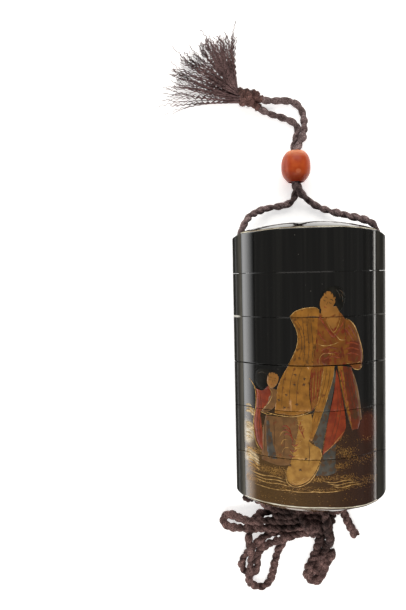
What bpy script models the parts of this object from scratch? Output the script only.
"""An inro: a lid and five stacked lacquered cases, strung on one silk cord.

The inro lies on its back.  +X runs across it, +Y towards the lid and +Z up out of its front face.
The origin is the middle of the narrow flat along the back, which rests on the table.
The cord runs down a bore in each side, meets in a coral bead above the lid, is tied in a bow below
the last case and ends in a knot with a frayed tassel.
"""
from math import cos, hypot, pi, radians, sin, sqrt

import bmesh
import bpy
from mathutils import Matrix, Vector

MM = 0.001
GAP = 0.3 * MM  # clearance between pieces that touch

# The case: a lens-shaped body with a raised cord runner down each side.
DEPTH = 26.0 * MM
FACE_EDGE_X = 22.3 * MM  # the faces' arcs are set out through these edges
FACE_FRONT_Z = 16.5 * MM
FACE_BACK_Z = 9.5 * MM
MID_Z = (FACE_FRONT_Z + FACE_BACK_Z) / 2
REST_FLAT_HALF = 4.5 * MM
CREASE_LEFT = -22.5 * MM  # the creases where both faces meet the runners
CREASE_RIGHT = 22.2 * MM
LEFT_RISE = 2.9 * MM  # how far each runner stands out from its crease
RIGHT_RISE = 3.8 * MM
RUNNER_END_SLOPE = 0.5

# Heights along the case, from the bottom rim to the top rim, with the five seams between.
BOTTOM_RIM = -45.4 * MM
SEAMS = [-29.2 * MM, -13.4 * MM, 1.5 * MM, 17.1 * MM, 31.6 * MM]
TOP_RIM = 46.0 * MM
LID_RISE = 2.8 * MM
LID_SAG = 0.7 * MM  # the lid's rim falls a little towards both creases
SAG_FROM = 10.0 * MM
SAG_TO = 22.0 * MM
FOOT_RISE = 3.4 * MM
LID_POWER = 2  # how the domes' rise falls off outwards: the foot is flatter, with a rounder edge
FOOT_POWER = 4
RIM_ROUND = 0.5 * MM
DOME_SCALES = (0.975, 0.92, 0.8, 0.52, 0.22)  # the domes' rings, drawn in towards the middle
CORNER_DROP = 1.3 * MM  # the last case's front right corner hangs a little lower than its left
CORNER_FROM = 2.0 * MM
CORNER_TO = 17.0 * MM

# Walls: an outer lip, the riser that stands up inside it, and the hollow inside the riser.
LIP = 1.2 * MM
RISER_INSET = LIP + GAP
HOLLOW_INSET = 2.6 * MM
LIP_SIDE = 20.2 * MM
RISER_SIDE = LIP_SIDE - GAP
HOLLOW_SIDE = 18.8 * MM
RISER_HEIGHT = 4.0 * MM
RECESS_DEPTH = RISER_HEIGHT + 0.5 * MM
FLOOR = 1.4 * MM
SHELL = 1.8 * MM  # thickness of the domed ends

# The cord and its bores.
CORD = 2.2 * MM
BORE_RADIUS = CORD / 2 + GAP
BORE_LEFT = -22.2 * MM
BORE_RIGHT = 22.9 * MM
BORE_SEGMENTS = 12
CORD_SIDES = 8
ROUTE_SAMPLES = 12  # steps of the smooth curve between two points of a route
TABLE_CLEAR = 0.03 * MM  # loose things lie this far above the rest flat's level

# The bead, on the table above the lid.
BEAD_WIDTH = 10.2 * MM
BEAD_LENGTH = 10.9 * MM
BEAD_CENTRE = Vector((-2.6 * MM, 68.4 * MM, BEAD_WIDTH / 2 + TABLE_CLEAR))
BEAD_BORE_RADIUS = 2.65 * MM
BEAD_END_RADIUS = 2.85 * MM  # where the bead's round side meets its mouth
BEAD_STEPS = 12
BEAD_SEGMENTS = 20
STRAND_LIFT = (CORD + GAP) / 2  # the two strands lie one above the other in the bead

FRONT_STEPS = 16
BACK_STEPS = 5  # from each runner to the rest flat
SIDE_STEPS = 6


def principled(name, colour, roughness, metallic=0.0):
    """A plain Principled material."""
    material = bpy.data.materials.new(name)
    material.use_nodes = True
    shader = material.node_tree.nodes["Principled BSDF"]
    shader.inputs["Base Color"].default_value = (*colour, 1.0)
    shader.inputs["Roughness"].default_value = roughness
    shader.inputs["Metallic"].default_value = metallic
    material.diffuse_color = (*colour, 1.0)
    return material


def add_object(name, mesh, material, smooth_angle=40):
    """Link a mesh as a named object, smooth except at edges sharper than the angle."""
    mesh.materials.append(material)
    mesh.shade_smooth()
    mesh.set_sharp_from_angle(angle=radians(smooth_angle))
    obj = bpy.data.objects.new(name, mesh)
    bpy.context.scene.collection.objects.link(obj)
    return obj


def loft(name, rings):
    """A closed mesh through equal-sized rings of points, capped at the first and the last."""
    bm = bmesh.new()
    loops = [[bm.verts.new(point) for point in ring] for ring in rings]
    count = len(loops[0])
    for lower, upper in zip(loops, loops[1:]):
        for i in range(count):
            j = (i + 1) % count
            bm.faces.new((lower[i], lower[j], upper[j], upper[i]))
    bm.faces.new(reversed(loops[0]))
    bm.faces.new(loops[-1])
    bmesh.ops.recalc_face_normals(bm, faces=bm.faces)
    mesh = bpy.data.meshes.new(name)
    bm.to_mesh(mesh)
    bm.free()
    return mesh


def arc_through(edge_x, edge_z, inner_x, inner_z):
    """Centre height and radius of the circle about x = 0 through two points."""
    centre = (edge_x**2 + edge_z**2 - inner_x**2 - inner_z**2) / (2 * (edge_z - inner_z))
    return centre, hypot(inner_x, inner_z - centre)


FRONT_CENTRE, FRONT_RADIUS = arc_through(FACE_EDGE_X, FACE_FRONT_Z, 0.0, DEPTH)
BACK_CENTRE, BACK_RADIUS = arc_through(FACE_EDGE_X, FACE_BACK_Z, REST_FLAT_HALF, 0.0)


def spread(start, end, steps):
    """Evenly spaced values from start to end, both kept."""
    return [start + (end - start) * i / steps for i in range(steps + 1)]


def section(inset=0.0, left=CREASE_LEFT, right=CREASE_RIGHT, left_rise=0.0, right_rise=0.0):
    """Points (x, z) round the lens, inset from its faces and cut off at both sides, with its runners."""
    front = []
    for x in spread(left, right, FRONT_STEPS):
        front.append((x, FRONT_CENTRE + sqrt((FRONT_RADIUS - inset) ** 2 - x**2)))
    from_right = spread(right, REST_FLAT_HALF, BACK_STEPS)
    to_left = spread(-REST_FLAT_HALF, left, BACK_STEPS)
    back = []
    for x in from_right + [0.0] + to_left:
        z = BACK_CENTRE - sqrt((BACK_RADIUS - inset) ** 2 - x**2)
        back.append((x, max(z, inset)))

    def side_points(start, end, rise):
        points = []
        for i in range(1, SIDE_STEPS):
            turn = pi * i / SIDE_STEPS
            z = (start[1] + end[1]) / 2 + (start[1] - end[1]) / 2 * cos(turn)
            points.append((start[0] + rise * sin(turn), z))
        return points

    right_side = side_points(front[-1], back[0], right_rise)
    left_side = side_points(back[-1], front[0], -left_rise)
    return front + right_side + back + left_side


def level(points, y):
    """The section's points at one height along the case."""
    return [Vector((x, y, z)) for x, z in points]


def scaled(points, scale):
    """The section drawn in towards the middle of the lens."""
    return [(x * scale, MID_Z + (z - MID_Z) * scale) for x, z in points]


OUTSIDE = section(left_rise=LEFT_RISE, right_rise=RIGHT_RISE)
LENS = section()
RECESS = section(LIP, -LIP_SIDE, LIP_SIDE)
RISER = section(RISER_INSET, -RISER_SIDE, RISER_SIDE)
HOLLOW = section(HOLLOW_INSET, -HOLLOW_SIDE, HOLLOW_SIDE)


def corner_drop(x, z):
    """How much lower the last case's end lies towards its front right corner."""
    across = min(1.0, max(0.0, (x - CORNER_FROM) / (CORNER_TO - CORNER_FROM)))
    forwards = min(1.0, max(0.0, (z - MID_Z) / (FACE_FRONT_Z - MID_Z)))
    return CORNER_DROP * across * forwards


def rim(height, way):
    """The outside ring at a rim, where each runner's end slopes back from the crease."""
    ring = []
    for x, z in OUTSIDE:
        beyond = max(0.0, x - CREASE_RIGHT, CREASE_LEFT - x)
        ring.append(Vector((x, height - way * (beyond * RUNNER_END_SLOPE + RIM_ROUND), z)))
    return ring


def lid_dome(thickness=0.0, outline=LENS):
    """Rings of the lid's domed end, from its edge in to its small flat middle."""
    rings = []
    for scale in DOME_SCALES:
        rise = LID_RISE * (1 - scale**LID_POWER) - thickness
        rings.append(level(scaled(outline, scale), TOP_RIM + rise))
    return rings


def foot_dome(thickness=0.0, outline=LENS, scales=DOME_SCALES):
    """Rings of the last case's domed end."""
    rings = []
    for scale in scales:
        rise = FOOT_RISE * (1 - scale**FOOT_POWER) - thickness
        rings.append(level(scaled(outline, scale), BOTTOM_RIM - rise))
    return rings


def foot_rings():
    """The last case's rim and domed end, with its lower corner."""
    rings = [rim(BOTTOM_RIM, -1), *foot_dome()]
    for ring, scale in zip(rings, (1.0, *DOME_SCALES)):
        for point in ring:
            point.y -= corner_drop(point.x, point.z) * scale**2
    return rings


def lid_top_rings():
    """The lid's rim and domed end, which sag a little towards the creases."""
    rings = [rim(TOP_RIM, 1), *lid_dome()]
    for ring, scale in zip(rings, (1.0, *DOME_SCALES)):
        for point in ring:
            outwards = min(1.0, max(0.0, (abs(point.x) - SAG_FROM) / (SAG_TO - SAG_FROM)))
            point.y -= LID_SAG * outwards * scale**2
    return rings


def bore_cutter(name, x):
    """A long round cutter for the cord's bore down one side of every piece."""
    bm = bmesh.new()
    bmesh.ops.create_cone(
        bm,
        cap_ends=True,
        segments=BORE_SEGMENTS,
        radius1=BORE_RADIUS,
        radius2=BORE_RADIUS,
        depth=2 * (TOP_RIM - BOTTOM_RIM),
    )
    bmesh.ops.rotate(bm, verts=bm.verts, cent=(0, 0, 0), matrix=Matrix.Rotation(radians(-90), 3, "X"))
    mesh = bpy.data.meshes.new(name)
    bm.to_mesh(mesh)
    bm.free()
    cutter = bpy.data.objects.new(name, mesh)
    cutter.location = (x, 0.0, MID_Z)
    cutter.hide_render = True
    cutter.display_type = "WIRE"
    bpy.context.scene.collection.objects.link(cutter)
    return cutter


def cut(obj, *cutters):
    """Subtract each cutter with an exact Boolean."""
    for cutter in cutters:
        modifier = obj.modifiers.new(cutter.name, "BOOLEAN")
        modifier.operation = "DIFFERENCE"
        modifier.solver = "EXACT"
        modifier.object = cutter


def riser_rings(seam):
    """From the outside wall's top edge at a seam, up round the riser and into the hollow."""
    edge = seam - GAP / 2
    top = seam + RISER_HEIGHT
    return [level(OUTSIDE, edge), level(RISER, edge), level(RISER, top), level(HOLLOW, top)]


def build_lid(material):
    seam = SEAMS[-1] + GAP / 2
    rings = list(reversed(lid_dome(SHELL, RECESS)))
    rings += [level(RECESS, seam), level(OUTSIDE, seam)]
    rings += lid_top_rings()
    return add_object("lid", loft("lid", rings), material)


def build_case(number, below, above, material):
    bottom = below + GAP / 2
    ceiling = bottom + RECESS_DEPTH
    rings = [level(RECESS, ceiling), level(RECESS, bottom), level(OUTSIDE, bottom)]
    rings += riser_rings(above)
    rings.append(level(HOLLOW, ceiling + FLOOR))
    name = f"case_{number}"
    return add_object(name, loft(name, rings), material)


def build_last_case(number, above, material):
    rings = list(reversed(foot_rings()))
    rings += riser_rings(above)
    rings += foot_dome(SHELL, HOLLOW, (1.0, *DOME_SCALES[1:]))
    name = f"case_{number}"
    return add_object(name, loft(name, rings), material)


def build_bead(material):
    """The ojime: a plump barrel with a bore along Y, made by turning its profile."""
    half = BEAD_LENGTH / 2
    full = BEAD_WIDTH / 2
    roundness = 1 - (BEAD_END_RADIUS / full) ** 2
    profile = [(BEAD_BORE_RADIUS, half)]
    for part in spread(1.0, -1.0, BEAD_STEPS):
        profile.append((full * sqrt(1 - roundness * part**2), half * part))
    profile.append((BEAD_BORE_RADIUS, -half))
    bm = bmesh.new()
    rings = []
    for k in range(BEAD_SEGMENTS):
        turn = 2 * pi * k / BEAD_SEGMENTS
        ring = []
        for radius, along in profile:
            offset = Vector((radius * cos(turn), along, radius * sin(turn)))
            ring.append(bm.verts.new(BEAD_CENTRE + offset))
        rings.append(ring)
    for k in range(BEAD_SEGMENTS):
        ring, after = rings[k], rings[(k + 1) % BEAD_SEGMENTS]
        for i in range(len(profile)):
            j = (i + 1) % len(profile)
            bm.faces.new((ring[i], ring[j], after[j], after[i]))
    bmesh.ops.recalc_face_normals(bm, faces=bm.faces)
    mesh = bpy.data.meshes.new("ojime")
    bm.to_mesh(mesh)
    bm.free()
    return add_object("ojime", mesh, material, 60)


def catmull(points):
    """A dense smooth curve through hand-set points."""
    ends = [points[0] * 2 - points[1], *points, points[-1] * 2 - points[-2]]
    dense = []
    for a, b, c, d in zip(ends, ends[1:], ends[2:], ends[3:]):
        for i in range(ROUTE_SAMPLES):
            t = i / ROUTE_SAMPLES
            bend = (2 * a - 5 * b + 4 * c - d) * t**2 + (3 * b - a - 3 * c + d) * t**3
            dense.append(0.5 * (2 * b + (c - a) * t + bend))
    dense.append(points[-1])
    return dense


def even_points(dense, spacing):
    """Points at an even spacing along a dense curve, both ends kept."""
    lengths = [0.0]
    for a, b in zip(dense, dense[1:]):
        lengths.append(lengths[-1] + (b - a).length)
    count = max(2, round(lengths[-1] / spacing))
    points = []
    k = 0
    for i in range(count + 1):
        target = lengths[-1] * i / count
        while k < len(dense) - 2 and lengths[k + 1] < target:
            k += 1
        part = (target - lengths[k]) / (lengths[k + 1] - lengths[k])
        points.append(dense[k].lerp(dense[k + 1], part))
    return points


def build_cord(name, route, spacing, material):
    """A round tube along a smooth curve through the route, with filled ends."""
    dense = catmull([Vector(point) * MM for point in route])
    points = even_points(dense, spacing * CORD)
    curve = bpy.data.curves.new(name, "CURVE")
    curve.dimensions = "3D"
    curve.bevel_depth = CORD / 2
    curve.bevel_resolution = CORD_SIDES // 4
    curve.render_resolution_u = 0
    curve.use_fill_caps = True
    curve.materials.append(material)
    spline = curve.splines.new("POLY")
    spline.points.add(len(points) - 1)
    for slot, point in zip(spline.points, points):
        slot.co = (*point, 1.0)
    obj = bpy.data.objects.new(name, curve)
    bpy.context.scene.collection.objects.link(obj)
    return obj


# Routes of the cord's stretches, in millimetres, and how many diameters apart their tube's points lie.
BORE_LEFT_MM = BORE_LEFT / MM
BORE_RIGHT_MM = BORE_RIGHT / MM
MID_Z_MM = MID_Z / MM
BEAD_X_MM = BEAD_CENTRE.x / MM
BEAD_Y_MM = BEAD_CENTRE.y / MM
LOW_Z_MM = (BEAD_CENTRE.z - STRAND_LIFT) / MM
HIGH_Z_MM = (BEAD_CENTRE.z + STRAND_LIFT) / MM
HALF_GAP_MM = GAP / MM / 2

CORD_ROUTES = {
    "cord_inside_left": (
        [
            (BORE_LEFT_MM, -32.2, MID_Z_MM),
            (BORE_LEFT_MM, 0, MID_Z_MM),
            (BORE_LEFT_MM, 40.7, MID_Z_MM),
        ],
        20,
    ),
    "cord_inside_right": (
        [
            (BORE_RIGHT_MM, -32.2, MID_Z_MM),
            (BORE_RIGHT_MM, 0, MID_Z_MM),
            (BORE_RIGHT_MM, 40.7, MID_Z_MM),
        ],
        20,
    ),
    "cord_lid_left": (
        [
            (BORE_LEFT_MM, 41, MID_Z_MM),
            (BORE_LEFT_MM, 45.2, MID_Z_MM),
            (-21.9, 46.8, 12.9),
            (-20.9, 48.7, 11.8),
            (-19.8, 50.6, 10),
            (-18.4, 52, 7.8),
            (-16.1, 53.3, 5),
            (-12.9, 54.5, 2.6),
            (-9.3, 55.2, 1.6),
            (-5.9, 55.8, 1.5),
            (-3.7, 57, 2),
            (-2.7, 59.3, 2.9),
            (-2.6, 61.5, 3.7),
            (BEAD_X_MM, 63.4, LOW_Z_MM),
            (BEAD_X_MM, BEAD_Y_MM - HALF_GAP_MM, LOW_Z_MM),
        ],
        2.2,
    ),
    "cord_lid_right": (
        [
            (BORE_RIGHT_MM, 41, MID_Z_MM),
            (BORE_RIGHT_MM, 45.2, MID_Z_MM),
            (22.6, 46.7, 12.9),
            (21.3, 48.1, 11.8),
            (19, 49.4, 9.8),
            (16, 50.5, 7.6),
            (11.8, 52.1, 4.3),
            (8, 53.6, 2.2),
            (4.6, 55.3, 1.9),
            (1.6, 57.3, 3),
            (-0.7, 59.2, 4.7),
            (-1.9, 61.3, 6.2),
            (BEAD_X_MM, 63.6, HIGH_Z_MM),
            (BEAD_X_MM, BEAD_Y_MM - HALF_GAP_MM, HIGH_Z_MM),
        ],
        2.2,
    ),
    "cord_knot_lower": (
        [
            (BEAD_X_MM, BEAD_Y_MM + HALF_GAP_MM, LOW_Z_MM),
            (BEAD_X_MM, 73.8, LOW_Z_MM),
            (-2.9, 76.4, 3.2),
            (-2, 79.5, 2),
            (-1.3, 82.3, 1.3),
            (-2.7, 84.8, 1.15),
            (-6.3, 86.5, 1.15),
            (-10.1, 87.8, 1.2),
            (-13, 89, 1.5),
            (-15, 90.1, 2.1),
        ],
        1.8,
    ),
    "cord_knot_upper": (
        [
            (BEAD_X_MM, BEAD_Y_MM + HALF_GAP_MM, HIGH_Z_MM),
            (BEAD_X_MM, 73.8, HIGH_Z_MM),
            (-1.5, 76, 5.8),
            (-0.1, 78.7, 4.6),
            (0.7, 81.7, 3.2),
            (0.9, 85, 1.8),
            (0.5, 88.1, 1.15),
            (-1.2, 90.8, 1.15),
            (-3.8, 92.3, 1.15),
            (-7.3, 92.7, 1.15),
            (-11, 92.5, 1.9),
            (-14, 92.7, 3),
        ],
        1.8,
    ),
    "cord_bow_left": (
        [
            (BORE_LEFT_MM, -32.5, MID_Z_MM),
            (BORE_LEFT_MM, -38.5, MID_Z_MM),
            (BORE_LEFT_MM, -45.9, MID_Z_MM),
            (-22, -47.9, 12.4),
            (-20.9, -49.4, 9.8),
            (-18.8, -50.9, 6.6),
            (-16.6, -52.4, 4.5),
            (-13.8, -54.4, 4),
            (-10.6, -55.4, 4),
            (-8.4, -55.8, 4),
        ],
        2.0,
    ),
    "cord_bow_right": (
        [
            (BORE_RIGHT_MM, -32.5, MID_Z_MM),
            (BORE_RIGHT_MM, -38.5, MID_Z_MM),
            (BORE_RIGHT_MM, -45, MID_Z_MM),
            (22.6, -47.2, 12),
            (21.4, -48.9, 9.2),
            (19, -50.6, 6.2),
            (15.7, -52.1, 4.7),
            (12.8, -54, 4.4),
            (11.4, -55.6, 4.4),
        ],
        2.0,
    ),
    "bow_loop_left": (
        [
            (-8.6, -59.9, 3.3),
            (-11.8, -59.6, 3.7),
            (-15.2, -59.6, 3.9),
            (-18.8, -59.9, 3.9),
            (-22, -59.6, 3.5),
            (-25.3, -59.2, 1.9),
            (-27.9, -58.5, 1.15),
            (-30, -58.9, 1.15),
            (-30.8, -60.7, 1.15),
            (-29.6, -62.6, 1.15),
            (-27, -63.3, 1.4),
            (-24.2, -63, 2.5),
            (-21.6, -62.7, 3.6),
            (-18.8, -62.6, 3.9),
            (-15.2, -62.3, 3.9),
            (-11.8, -62.4, 3.7),
            (-8.6, -62.6, 3.3),
        ],
        1.5,
    ),
    "bow_loop_large": (
        [
            (-8.5, -56.9, 1.3),
            (-11.2, -57, 1.2),
            (-13.8, -57.3, 1.15),
            (-16.2, -58, 1.15),
            (-18.2, -59.2, 1.15),
            (-19.6, -61.2, 1.15),
            (-20.5, -63.7, 1.15),
            (-21.1, -66.2, 1.3),
            (-21.2, -68.3, 2.4),
            (-20.9, -70, 3.7),
            (-20.4, -72, 3.9),
            (-20.5, -74.6, 3.9),
            (-20.9, -77.4, 3.9),
            (-21.3, -80.2, 3.9),
            (-21.4, -82.6, 3.5),
            (-20.9, -84.4, 2.2),
            (-19.7, -85.7, 1.2),
            (-17.9, -86.3, 1.15),
            (-16, -86.1, 1.15),
            (-14.4, -84.9, 1.15),
            (-13.2, -82.9, 1.15),
            (-12.3, -80.2, 1.15),
            (-11.8, -77.2, 1.15),
            (-11.1, -74.5, 1.15),
            (-10.3, -72.1, 1.15),
            (-9.2, -69.8, 1.15),
            (-7.9, -67.9, 1.15),
        ],
        1.7,
    ),
    "bow_loop_ring": (
        [
            (-8.4, -64.9, 1.15),
            (-10.9, -65, 1.15),
            (-13.4, -65.8, 1.15),
            (-15.7, -67.2, 1.15),
            (-17.8, -69, 1.15),
            (-19.6, -70.8, 1.15),
            (-21.5, -72.7, 1.15),
            (-23.2, -74.8, 1.15),
            (-24, -77.2, 1.15),
            (-23.6, -79.5, 1.15),
            (-22.1, -81.1, 1.15),
            (-20.3, -81.2, 1.15),
            (-18.9, -79.8, 1.15),
            (-18.2, -77.7, 1.15),
            (-18.3, -75.4, 1.15),
            (-17.9, -73.4, 1.15),
            (-16.6, -71.7, 1.2),
            (-14.7, -69.9, 1.7),
            (-12.4, -68.4, 2.6),
            (-9.9, -67.2, 3.6),
            (-7.2, -66.1, 3.8),
        ],
        1.4,
    ),
    "bow_loop_right": (
        [
            (5.7, -66, 1.2),
            (5.2, -68.2, 1.15),
            (4.3, -71, 1.15),
            (3.1, -74, 1.15),
            (1.8, -76.9, 1.15),
            (0.7, -79.9, 1.15),
            (0.8, -82.2, 1.15),
            (2.3, -83.7, 1.15),
            (4.3, -83.4, 1.15),
            (5.5, -81.7, 1.15),
            (6.4, -79.3, 1.15),
            (7.5, -76.8, 1.15),
            (8.8, -74.4, 1.15),
            (10, -72.2, 1.15),
        ],
        1.6,
    ),
    "bow_end_middle": (
        [
            (1.6, -54.6, 1.2),
            (3, -52.9, 2.6),
            (4.8, -52.6, 5.5),
            (5.8, -54.4, 8),
            (6.4, -57.4, 8.6),
            (7, -60.8, 8.5),
            (7.7, -64.2, 7.6),
            (8.2, -66.8, 5),
            (8, -69.3, 2.4),
            (6.9, -71.8, 1.2),
            (5.8, -74.1, 1.15),
            (4.8, -76.4, 1.15),
            (3.8, -78.8, 1.15),
            (3.2, -80.3, 1.15),
        ],
        2.0,
    ),
    "bow_end_right": (
        [
            (-3, -54.6, 1.15),
            (-2.2, -52.4, 1.15),
            (0.6, -50.6, 1.15),
            (4.8, -49.9, 1.15),
            (9, -50.5, 1.15),
            (11.7, -52.8, 1.15),
            (13.1, -55.7, 1.15),
            (14.2, -58.4, 1.15),
            (15.3, -60.8, 1.15),
            (16.5, -63.2, 1.15),
            (18.3, -66.5, 1.15),
        ],
        2.0,
    ),
}

# The knots: rounded lumps, ribbed where the cord wraps round them.
# Each has its middle, its half size, its wraps and how square it is: below 1 it is boxier than an ellipsoid.
KNOTS = {
    "bow_knot": (Vector((1.4, -60.3, 3.3)) * MM, Vector((9.4, 4.7, 3.2)) * MM, 5, 0.55),
    "tassel_knot": (Vector((-18.6, 93.5, 3.1)) * MM, Vector((3.8, 3.1, 3.0)) * MM, 2, 0.8),
}
WRAP_DEPTH = 0.07  # of the girth
WRAP_SLANT = 0.3  # of the space between two wraps
KNOT_SEGMENTS = 24
KNOT_ROWS = 10


def build_knot(name, centre, half, wraps, square, material):
    """A closed lump whose surface rises and falls where the cord wraps round its long axis."""

    def rounded(value):
        return abs(value) ** square * (1 if value >= 0 else -1)

    bm = bmesh.new()
    loops = []
    for r in range(1, KNOT_ROWS):
        rise = pi * r / KNOT_ROWS
        loop = []
        for k in range(KNOT_SEGMENTS):
            turn = 2 * pi * k / KNOT_SEGMENTS
            along = -cos(rise)
            place_in_wrap = wraps * (along + 1) / 2 + WRAP_SLANT * sin(turn)
            girth = sin(rise) ** square * (1 - WRAP_DEPTH * cos(2 * pi * place_in_wrap))
            x = rounded(along) * half.x
            y = girth * rounded(cos(turn)) * half.y
            z = girth * rounded(sin(turn)) * half.z
            place = centre + Vector((x, y, z))
            place.z = max(place.z, TABLE_CLEAR)
            loop.append(bm.verts.new(place))
        loops.append(loop)
    first = bm.verts.new(centre - Vector((half.x, 0, 0)))
    last = bm.verts.new(centre + Vector((half.x, 0, 0)))
    for lower, upper in zip(loops, loops[1:]):
        for k in range(KNOT_SEGMENTS):
            m = (k + 1) % KNOT_SEGMENTS
            bm.faces.new((lower[k], lower[m], upper[m], upper[k]))
    for k in range(KNOT_SEGMENTS):
        m = (k + 1) % KNOT_SEGMENTS
        bm.faces.new((first, loops[0][m], loops[0][k]))
        bm.faces.new((last, loops[-1][k], loops[-1][m]))
    bmesh.ops.recalc_face_normals(bm, faces=bm.faces)
    mesh = bpy.data.meshes.new(name)
    bm.to_mesh(mesh)
    bm.free()
    return add_object(name, mesh, material, 75)


# The tassel: a fan of frayed silk that lies on the table, fuller at its root.
TASSEL_ROOT = Vector((-22.9, 95.1, 0)) * MM
TASSEL_FROM = 182.0  # degrees, the lowest lock on the left
TASSEL_TO = 96.0  # degrees, the last lock, pointing up
TASSEL_LOCKS = 9
TASSEL_LOCK_DEPTH = 0.12  # of the length, between two locks
TASSEL_LEFT_LENGTH = 26.5 * MM
TASSEL_UP_LENGTH = 20.5 * MM
TASSEL_ROOT_WIDTH = 5.4 * MM
TASSEL_ROOT_HEIGHT = 4.6 * MM
TASSEL_TIP_HEIGHT = 1.4 * MM
TASSEL_FALL = 0.7  # below 1 the fan falls fastest near its root
TASSEL_EDGE = 0.35  # of the height, left at the fan's two sides
TASSEL_EDGE_WIDTH = 0.16  # of the fan, from each side to its full height
TASSEL_ACROSS = 27
TASSEL_ROWS = 6


def tassel_columns():
    """The fan's upper and lower points, column by column from the left to the top."""
    middle = radians((TASSEL_FROM + TASSEL_TO) / 2)
    chord = Vector((-sin(middle), cos(middle), 0))
    upper, lower = [], []
    for part in spread(0.0, 1.0, TASSEL_ACROSS):
        angle = radians(TASSEL_FROM + (TASSEL_TO - TASSEL_FROM) * part)
        lock = 0.5 - 0.5 * cos(2 * pi * TASSEL_LOCKS * part)
        length = TASSEL_LEFT_LENGTH + (TASSEL_UP_LENGTH - TASSEL_LEFT_LENGTH) * part
        length *= 1 - TASSEL_LOCK_DEPTH * (1 - lock)
        start = TASSEL_ROOT + chord * TASSEL_ROOT_WIDTH * (0.5 - part)
        end = start + Vector((cos(angle), sin(angle), 0)) * length
        edge = min(1.0, TASSEL_EDGE + min(part, 1 - part) / TASSEL_EDGE_WIDTH)
        top, bottom = [], []
        for t in spread(0.0, 1.0, TASSEL_ROWS):
            place = start.lerp(end, t)
            height = TASSEL_ROOT_HEIGHT + (TASSEL_TIP_HEIGHT - TASSEL_ROOT_HEIGHT) * t**TASSEL_FALL
            top.append(Vector((place.x, place.y, height * edge)))
            bottom.append(Vector((place.x, place.y, TABLE_CLEAR)))
        upper.append(top)
        lower.append(bottom)
    return upper, lower


def build_tassel(material):
    """One closed fan: an upper sheet of points and a flat underside, joined round the edge."""
    bm = bmesh.new()
    upper, lower = [[[bm.verts.new(p) for p in column] for column in sheet] for sheet in tassel_columns()]
    last, tip = TASSEL_ACROSS, TASSEL_ROWS
    for i in range(last):
        for j in range(tip):
            bm.faces.new((upper[i][j], upper[i + 1][j], upper[i + 1][j + 1], upper[i][j + 1]))
        bm.faces.new((upper[i][0], lower[i][0], lower[i + 1][0], upper[i + 1][0]))
        bm.faces.new((upper[i][tip], upper[i + 1][tip], lower[i + 1][tip], lower[i][tip]))
    for j in range(tip):
        for edge in (0, last):
            bm.faces.new((upper[edge][j], upper[edge][j + 1], lower[edge][j + 1], lower[edge][j]))
    outline = [column[0] for column in lower] + lower[last][1:]
    outline += [column[tip] for column in reversed(lower[:-1])] + list(reversed(lower[0][1:tip]))
    bm.faces.new(outline)
    inside = [vert for column in lower[1:last] for vert in column[1:tip]]
    bmesh.ops.delete(bm, geom=inside, context="VERTS")
    bmesh.ops.recalc_face_normals(bm, faces=bm.faces)
    mesh = bpy.data.meshes.new("tassel")
    bm.to_mesh(mesh)
    bm.free()
    return add_object("tassel", mesh, material, 60)


def build():
    for obj in list(bpy.data.objects):
        bpy.data.objects.remove(obj)
    lacquer = principled("black lacquer", (0.012, 0.011, 0.010), 0.12)
    coral = principled("coral", (0.55, 0.09, 0.03), 0.3)
    silk = principled("brown silk", (0.075, 0.036, 0.035), 0.75)

    cutters = [bore_cutter("bore_left", BORE_LEFT), bore_cutter("bore_right", BORE_RIGHT)]
    cut(build_lid(lacquer), *cutters)
    levels = list(reversed(SEAMS))
    for number, (above, below) in enumerate(zip(levels, levels[1:]), start=1):
        cut(build_case(number, below, above, lacquer), *cutters)
    cut(build_last_case(len(levels), levels[-1], lacquer), *cutters)

    build_bead(coral)
    for name, (route, spacing) in CORD_ROUTES.items():
        build_cord(name, route, spacing, silk)
    for name, (centre, half, wraps, square) in KNOTS.items():
        build_knot(name, centre, half, wraps, square, silk)
    build_tassel(silk)


build()
